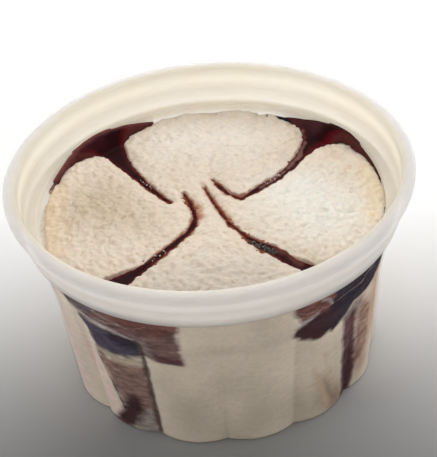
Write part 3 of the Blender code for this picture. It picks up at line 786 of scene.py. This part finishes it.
def make_sauce(name, looks):
    """One ribbon of sauce: what lies on top of the gelato, what it leaves on the wall, and its bubbles."""
    points = np.array([p for stroke in TOP_STROKES[name] for p in stroke])
    low = points[:, :2].min(0) - points[:, 2].max()
    high = points[:, :2].max(0) + points[:, 2].max()

    def field(spots):
        reach = climbed(name, spots)[1]
        return np.maximum(top_distance(name, spots) - SAUCE_OVERLAP, from_axis(spots) - reach)

    def front(spots):
        return np.column_stack([spots, sauce_top(name, spots, top_distance(name, spots))]) * MM

    def back(spots):
        top = sauce_top(name, spots, top_distance(name, spots))
        radius = from_axis(spots)
        deep = top - mix(TIP_THICKNESS, POOL_THICKNESS, smooth(5, 36, radius))
        floor = height_at(LEDGE_DEPTH) - LAP_SUNK
        return np.column_stack([spots, mix(deep, floor, smooth(39.2, 39.5, radius))]) * MM

    spots, top, faces = closed_patch(low, high, SAUCE_CELL, field, front, back)
    tints = unstreaked(sauce_colours(name, spots))

    corners = np.concatenate([side_outline(corners) for _, _, corners in WALL_AREAS[name]])

    def side_field(spots):
        depth = spots[:, 1]
        outside = np.maximum(depth - height_at(FOOD_FOOT + 0.15), COLLAR_DEPTH + 0.2 - depth)
        return np.maximum(side_distance(name, spots), outside)

    wall_spots, wall, wall_faces = closed_patch(corners.min(0) - 2, corners.max(0) + 2, WALL_CELL, side_field,
                                                shell(FILM_INSET), shell(FILM_BACK_INSET))
    wall_tints = side_colours(wall_spots)
    bubbles, bubble_faces, bubble_tints = bubble_cluster(name)
    faces += [tuple(n + len(top) for n in reversed(face)) for face in wall_faces]
    faces += [tuple(n + len(top) + len(wall) for n in face) for face in bubble_faces]
    piece = new_piece(name + "_syrup", np.concatenate([top, wall, bubbles]), faces, looks, name)
    paint(piece, np.concatenate([tints, tints, wall_tints, wall_tints, unstreaked(bubble_tints)]))


def sauce_colours(name, spots):
    """Nearly black well inside the sauce, red nearer to its edge and rusty where the gelato shows through."""
    radius = from_axis(spots)
    pool = smooth(20, 30, radius)[:, None]
    inside = (-top_distance(name, spots) + ripple(spots, 1.5, 16) * 0.2)[:, None]
    thin = mix(np.array(SYRUP_THIN), np.array(SYRUP_THIN_POOL), pool)
    colours = mix(thin, np.array(SYRUP_RED), smooth(0.0, 0.4, inside))
    colours = mix(colours, np.array(SYRUP), smooth(mix(0.3, 0.4, pool), mix(0.8, 1.6, pool), inside))
    colours = stains_and_painted_light(colours, spots, POOL_TINTS_AND_REFLECTIONS, ripple(spots, 1.6, 20) * 0.7)
    from_edge = climbed(name, spots)[1] - radius + ripple(spots, 2.0, 21) * 0.3
    fade, strength, tint = FILMS[name]
    film = (1 - smooth(0, fade, from_edge)) * smooth(33, 36, radius) * strength
    return mix(colours, np.array(tint), film[:, None])


def bubble_cluster(name):
    """Small balls, half sunk in a ribbon of sauce, the pale ones painted as glints: points in metres, faces
    and colours.
    """
    chance = random.Random(5)
    points, faces, tints = [], [], []
    for colour, number, least, greatest, stroke in BUBBLES_AND_GLINTS[name]:
        for _ in range(number):
            part = chance.randrange(len(stroke) - 1)
            along = chance.random()
            x, y, half = (mix(a, b, along) for a, b in zip(stroke[part], stroke[part + 1]))
            spot = np.array([[x + chance.uniform(-half, half), y + chance.uniform(-half, half)]])
            size = chance.uniform(least, greatest)
            height = sauce_top(name, spot, top_distance(name, spot))[0] + size * 0.2
            first = len(points)
            for ring in range(1, BUBBLE_RINGS):
                tilt = math.pi * ring / BUBBLE_RINGS
                wide, high = size * math.sin(tilt), height + size * math.cos(tilt)
                for n in range(BUBBLE_SIDES):
                    turn = 2 * math.pi * n / BUBBLE_SIDES
                    x, y = spot[0] + (wide * math.cos(turn), wide * math.sin(turn))
                    points.append((x, y, high))
            count = len(points) - first
            faces += [tuple(reversed(face)) for face in ring_faces(first, BUBBLE_SIDES, BUBBLE_RINGS - 1)]
            faces.append(tuple(range(first, first + BUBBLE_SIDES)))
            faces.append(tuple(range(first + count - BUBBLE_SIDES, first + count))[::-1])
            shade = chance.uniform(0.4, 1.5)
            tints += [tuple(c * shade for c in colour)] * count
    return np.array(points) * MM, faces, np.array(tints)


def make_cup(looks):
    """The cup: lip, flared collar, ledge and band, turned, over a fluted body with a rounded foot."""
    foot = height_at(COLLAR_DEPTH)
    band_foot = height_at(BAND_DEPTH)
    lip_foot = height_at(LIP_HEIGHT)
    ledge = height_at(LEDGE_DEPTH)
    around = columns(CUP_COLUMNS)
    underside = [
        (HUB, FOOT_RECESS, 0), (FOOT_RING_INNER - FOOT_RECESS, FOOT_RECESS, 0.5), (FOOT_RING_INNER, 0, 0.3),
        (FOOT_RING_INNER + 4, 0, 0),
    ]
    upper = [
        (BAND_TOP_RADIUS, foot - 0.8, 0), (BAND_TOP_RADIUS, foot, 0.5), (COLLAR_FOOT_RADIUS - 0.1, foot, 0.5),
        (COLLAR_TOP_RADIUS - 0.15, lip_foot - 1.1, 1.6), (LIP_RADIUS - 0.05, lip_foot + 0.9, 1.2),
        (LIP_RADIUS, CUP_HEIGHT, 0.9), (MOUTH_RADIUS, CUP_HEIGHT, 0.75), (LEDGE_RADIUS, ledge, 0.7),
        (BAND_TOP_RADIUS - WALL, ledge, 0.4), (BAND_FOOT_RADIUS - WALL, band_foot, 0),
    ]
    rings = [polar(radius, around, height) for radius, height in rounded(underside)]
    for turn in np.linspace(0, math.pi / 2, 6):
        height = FOOT_ROUND * (1 - math.cos(turn))
        rings.append(polar(fluted_radius(height, around) - FOOT_ROUND * (1 - math.sin(turn)), around, height))
    for height in np.linspace(FOOT_ROUND, foot - 1.0, WALL_ROWS)[1:]:
        rings.append(polar(wall_radius(height, around), around, height))
    rings += [polar(radius, around, height) for radius, height in rounded(upper)]
    for height in np.linspace(band_foot - FLUTE_STEP - WALL, FLOOR_HEIGHT, 8):
        rings.append(polar(fluted_radius(height, around) - WALL, around, height))
    rings.append(polar(HUB, around, FLOOR_HEIGHT))
    count = len(around)
    faces = ring_faces(0, count, len(rings))
    faces.append(tuple(range(count))[::-1])
    last = (len(rings) - 1) * count
    faces.append(tuple(range(last, last + count)))
    new_piece("cup_shell", np.concatenate(rings), faces, looks, "cup")


class Nodes:
    """Builds a material's node tree with short calls."""

    def __init__(self, name):
        self.material = bpy.data.materials.new(name)
        self.material.use_nodes = True
        self.tree = self.material.node_tree
        self.shader = self.tree.nodes["Principled BSDF"]
        self.place = self.add("ShaderNodeTexCoord").outputs["Object"]

    def add(self, kind, links=None, **settings):
        """A node with its settings; links gives each input a constant or another node's output."""
        node = self.tree.nodes.new(kind)
        for name, value in settings.items():
            setattr(node, name, value)
        for socket, value in (links or {}).items():
            self.join(node, socket, value)
        return node

    def join(self, node, socket, value):
        if isinstance(value, bpy.types.NodeSocket):
            self.tree.links.new(value, node.inputs[socket])
        else:
            node.inputs[socket].default_value = value

    def set(self, **values):
        for name, value in values.items():
            self.join(self.shader, name.replace("_", " "), value)

    def math(self, operation, first, second):
        return self.add("ShaderNodeMath", {0: first, 1: second}, operation=operation).outputs["Value"]

    def scaled(self, shares):
        """Places drawn together by a share along each axis, so that noise there comes out longer."""
        links = {0: self.place, 1: shares}
        return self.add("ShaderNodeVectorMath", links, operation="MULTIPLY").outputs["Vector"]

    def noise(self, size, detail=2.0, roughness=0.5, place=None):
        """Noise with waves of about size mm."""
        links = {"Vector": self.place if place is None else place, "Scale": 1 / (size * MM), "Detail": detail,
                 "Roughness": roughness}
        return self.add("ShaderNodeTexNoise", links).outputs["Fac"]

    def ramp(self, value, low, high, start, end):
        """A value carried from one range into another and held at its ends."""
        links = {"Value": value, "From Min": low, "From Max": high, "To Min": start, "To Max": end}
        return self.add("ShaderNodeMapRange", links).outputs["Result"]

    def spread(self, noise, start, end):
        """Noise carried from the range that most of it has into another."""
        return self.ramp(noise, 0.3, 0.7, start, end)

    def height(self):
        return self.add("ShaderNodeSeparateXYZ", {"Vector": self.place}).outputs["Z"]

    def by_depth(self, deep, shallow, start, end):
        """A value that goes from start, deep below the mouth, to end, at a shallower depth in mm."""
        return self.ramp(self.height(), height_at(deep) * MM, height_at(shallow) * MM, start, end)

    def from_axis(self):
        links = {0: self.scaled((1.0, 1.0, 0.0))}
        return self.add("ShaderNodeVectorMath", links, operation="LENGTH").outputs["Value"]

    def bumps(self, layers):
        """Bump from (height, distance in mm) layers, one on another."""
        normal = None
        for height, distance in layers:
            links = {"Height": height, "Distance": distance * MM, "Strength": 1.0}
            if normal:
                links["Normal"] = normal
            normal = self.add("ShaderNodeBump", links).outputs["Normal"]
        return normal

    def tinted(self, size, change):
        """The mesh's painted colour, lighter and darker in patches, and in streaks where it is streaky."""
        tint = self.add("ShaderNodeVertexColor", layer_name="tint")
        streaks = self.noise(0.8, 4.0, 0.7, self.scaled((0.25, 0.25, 1.0)))
        share = self.math("MULTIPLY", self.spread(streaks, -0.5, 0.5), tint.outputs["Alpha"])
        value = self.math("ADD", self.spread(self.noise(size), 1 - change, 1 + change), share)
        links = {"Value": value, "Color": tint.outputs["Color"]}
        return self.add("ShaderNodeHueSaturation", links).outputs["Color"]


def gelato_looks():
    nodes = Nodes("gelato_cream")
    fine = nodes.noise(0.45, 3.0, 0.6)
    coarse = nodes.noise(1.3)
    nodes.set(Base_Color=nodes.tinted(0.9, 0.05), Roughness=nodes.spread(coarse, 0.42, 0.62),
              Normal=nodes.bumps([(coarse, 0.08), (fine, 0.04)]))
    nodes.set(Subsurface_Weight=0.3, Subsurface_Scale=0.0008, Subsurface_Radius=(1.0, 0.65, 0.4), IOR=1.38)
    return nodes.material


def sauce_looks():
    """Wet syrup on top, matt where it lies against the wall."""
    nodes = Nodes("sauce_syrup")
    swirl = nodes.noise(1.6)
    matt = nodes.by_depth(12.6, 13.4, 0.0, 0.6)
    nodes.set(Base_Color=nodes.tinted(0.8, 0.10), Normal=nodes.bumps([(swirl, 0.05)]),
              Roughness=nodes.math("ADD", nodes.spread(swirl, 0.10, 0.22), matt))
    nodes.set(Specular_IOR_Level=0.025, IOR=1.45)
    return nodes.material


def cup_looks():
    """Milky plastic: the collar and lip hide what is behind them, the wall that the food touches shows it.
    Light and shade are painted into its colour, by depth and between inside and outside.
    """
    nodes = Nodes("cup_milky_plastic")
    radius = nodes.from_axis()
    cloud = nodes.noise(14.0)
    (low, low_radius), (high, high_radius) = COLLAR_MIDDLE
    middle = nodes.ramp(nodes.height(), low * MM, high * MM, low_radius * MM, high_radius * MM)
    outer = nodes.ramp(nodes.math("SUBTRACT", radius, middle), -0.0004, 0.0006, 0.0, 1.0)
    lean = nodes.math("ADD", outer, nodes.spread(cloud, -0.15, 0.15))
    # Painted light: a warmer colour on the inside of the collar, a cooler one outside
    colour = nodes.add("ShaderNodeValToRGB", {"Fac": lean})
    for mark, tint in zip(colour.color_ramp.elements, (PLASTIC_INSIDE_PAINTED_WARM, PLASTIC_OUTSIDE_PAINTED_COOL)):
        mark.color = (*tint, 1)
    tone = nodes.spread(nodes.noise(0.9, 3.0, 0.6, nodes.scaled((0.2, 0.2, 1.0))), -0.03, 0.03)
    # Light and shade painted by depth onto the lip and collar
    for band in CUP_PAINTED_LIGHT_AND_SHADE:
        tone = nodes.math("ADD", tone, nodes.by_depth(*band))
    shade = nodes.add("ShaderNodeHueSaturation", {"Value": tone, "Color": colour.outputs["Color"]})
    collar = nodes.by_depth(COLLAR_DEPTH + 0.3, COLLAR_DEPTH - 0.5, WALL_COVER, COLLAR_COVER)
    inside = nodes.ramp(radius, *(r * MM for r in FROST_RADII), COLLAR_COVER, 0.0)
    frosted = nodes.math("MULTIPLY", inside, nodes.by_depth(*FROST_DEPTHS, 0.0, 1.0))
    milky = nodes.math("MAXIMUM", collar, frosted)
    cover = nodes.math("MINIMUM", milky, nodes.by_depth(*LIP_DEPTHS, 1.0, LIP_COVER))
    nodes.set(Base_Color=shade.outputs["Color"], Roughness=nodes.spread(cloud, 0.32, 0.42),
              Normal=nodes.bumps([(nodes.noise(0.7), 0.015)]), Alpha=cover)
    nodes.set(Subsurface_Weight=1.0, Subsurface_Scale=0.016, Subsurface_Radius=(1.0, 0.93, 0.87),
              Specular_IOR_Level=0.18, IOR=1.49)
    return nodes.material


def make_floor():
    """A pale floor that fades to grey towards the front, as in the photograph: the fade is painted shade."""
    nodes = Nodes("floor_paper")
    links = {0: nodes.place, 1: (0.15, 1.0, 0.0)}
    along = nodes.add("ShaderNodeVectorMath", links, operation="DOT_PRODUCT").outputs["Value"]
    # Painted shade: the floor's grey darkens towards the front
    shade = nodes.add("ShaderNodeValToRGB", {"Fac": nodes.ramp(along, *FLOOR_FADE, 0.0, 1.0)})
    for mark, level in zip(shade.color_ramp.elements, FLOOR_GREYS):
        mark.color = (level, level, level, 1)
    nodes.set(Base_Color=shade.outputs["Color"], Roughness=0.9)
    corners = [(x * FLOOR_HALF, y * FLOOR_HALF, 0) for x, y in ((-1, -1), (1, -1), (1, 1), (-1, 1))]
    floor = new_piece("floor", corners, [(0, 1, 2, 3)], nodes.material)


def make_world():
    """A plain studio surround: bright low down, dim at the height that the pools of sauce mirror."""
    world = bpy.data.worlds.new("studio")
    world.use_nodes = True
    tree = world.node_tree
    way = tree.nodes.new("ShaderNodeTexCoord")
    parts = tree.nodes.new("ShaderNodeSeparateXYZ")
    glow = tree.nodes.new("ShaderNodeValToRGB")
    tree.links.new(way.outputs["Generated"], parts.inputs["Vector"])
    tree.links.new(parts.outputs["Z"], glow.inputs["Fac"])
    tree.links.new(glow.outputs["Color"], tree.nodes["Background"].inputs["Color"])
    marks = glow.color_ramp.elements
    for place, _ in WORLD_BANDS[1:-1]:
        marks.new(place)
    for mark, (_, level) in zip(marks, WORLD_BANDS):
        mark.color = (level, level * 0.985, level * 0.965, 1)
    bpy.context.scene.world = world


def make_lights():
    """A broad soft key light high at the back right, and low panels on all four sides."""
    for name, place, width, depth, glow in LAMPS:
        light = bpy.data.lights.new(name, "AREA")
        light.shape = "RECTANGLE"
        light.size = width
        light.size_y = depth
        light.energy = glow * math.pi * width * depth
        lamp = bpy.data.objects.new(name, light)
        lamp.location = place
        lamp.rotation_mode = "QUATERNION"
        lamp.rotation_quaternion = (Vector((0, 0, 0.03)) - Vector(place)).to_track_quat("-Z", "Y")
        lamp.visible_camera = False
        bpy.context.scene.collection.objects.link(lamp)


def make_camera():
    """The photograph's camera: it looks a little beside the middle of the mouth, and is rolled."""
    mouth = Vector((0, 0, CUP_HEIGHT * MM))
    tilt = math.radians(VIEW_ELEVATION)
    place = mouth + Vector((0, -math.cos(tilt), math.sin(tilt))) * VIEW_DISTANCE
    forward = (mouth - place).normalized()
    right = Vector((1, 0, 0))
    up = right.cross(forward)
    yaw = Quaternion(up, math.atan(AIM_PX[0] / FOCAL_PX))
    forward, right = yaw @ forward, yaw @ right
    pitch = Quaternion(right, math.atan(AIM_PX[1] / FOCAL_PX))
    forward, up = pitch @ forward, pitch @ up
    roll = math.radians(VIEW_ROLL)
    across = right * math.cos(roll) + up * math.sin(roll)
    upright = up * math.cos(roll) - right * math.sin(roll)
    lens = bpy.data.cameras.new("camera")
    lens.sensor_width = SENSOR
    lens.lens = FOCAL_PX / LONG_SIDE_PX * SENSOR
    lens.clip_start = 0.01
    camera = bpy.data.objects.new("camera", lens)
    turn = Matrix((across, upright, -forward)).transposed()
    camera.matrix_world = Matrix.Translation(place) @ turn.to_4x4()
    bpy.context.scene.collection.objects.link(camera)
    bpy.context.scene.camera = camera


make_camera()
make_world()
make_lights()
make_floor()
make_cup(cup_looks())
make_gelato(gelato_looks())
syrup = sauce_looks()
for ribbon in TOP_STROKES:
    make_sauce(ribbon, syrup)
bpy.context.scene.view_settings.view_transform = "Standard"
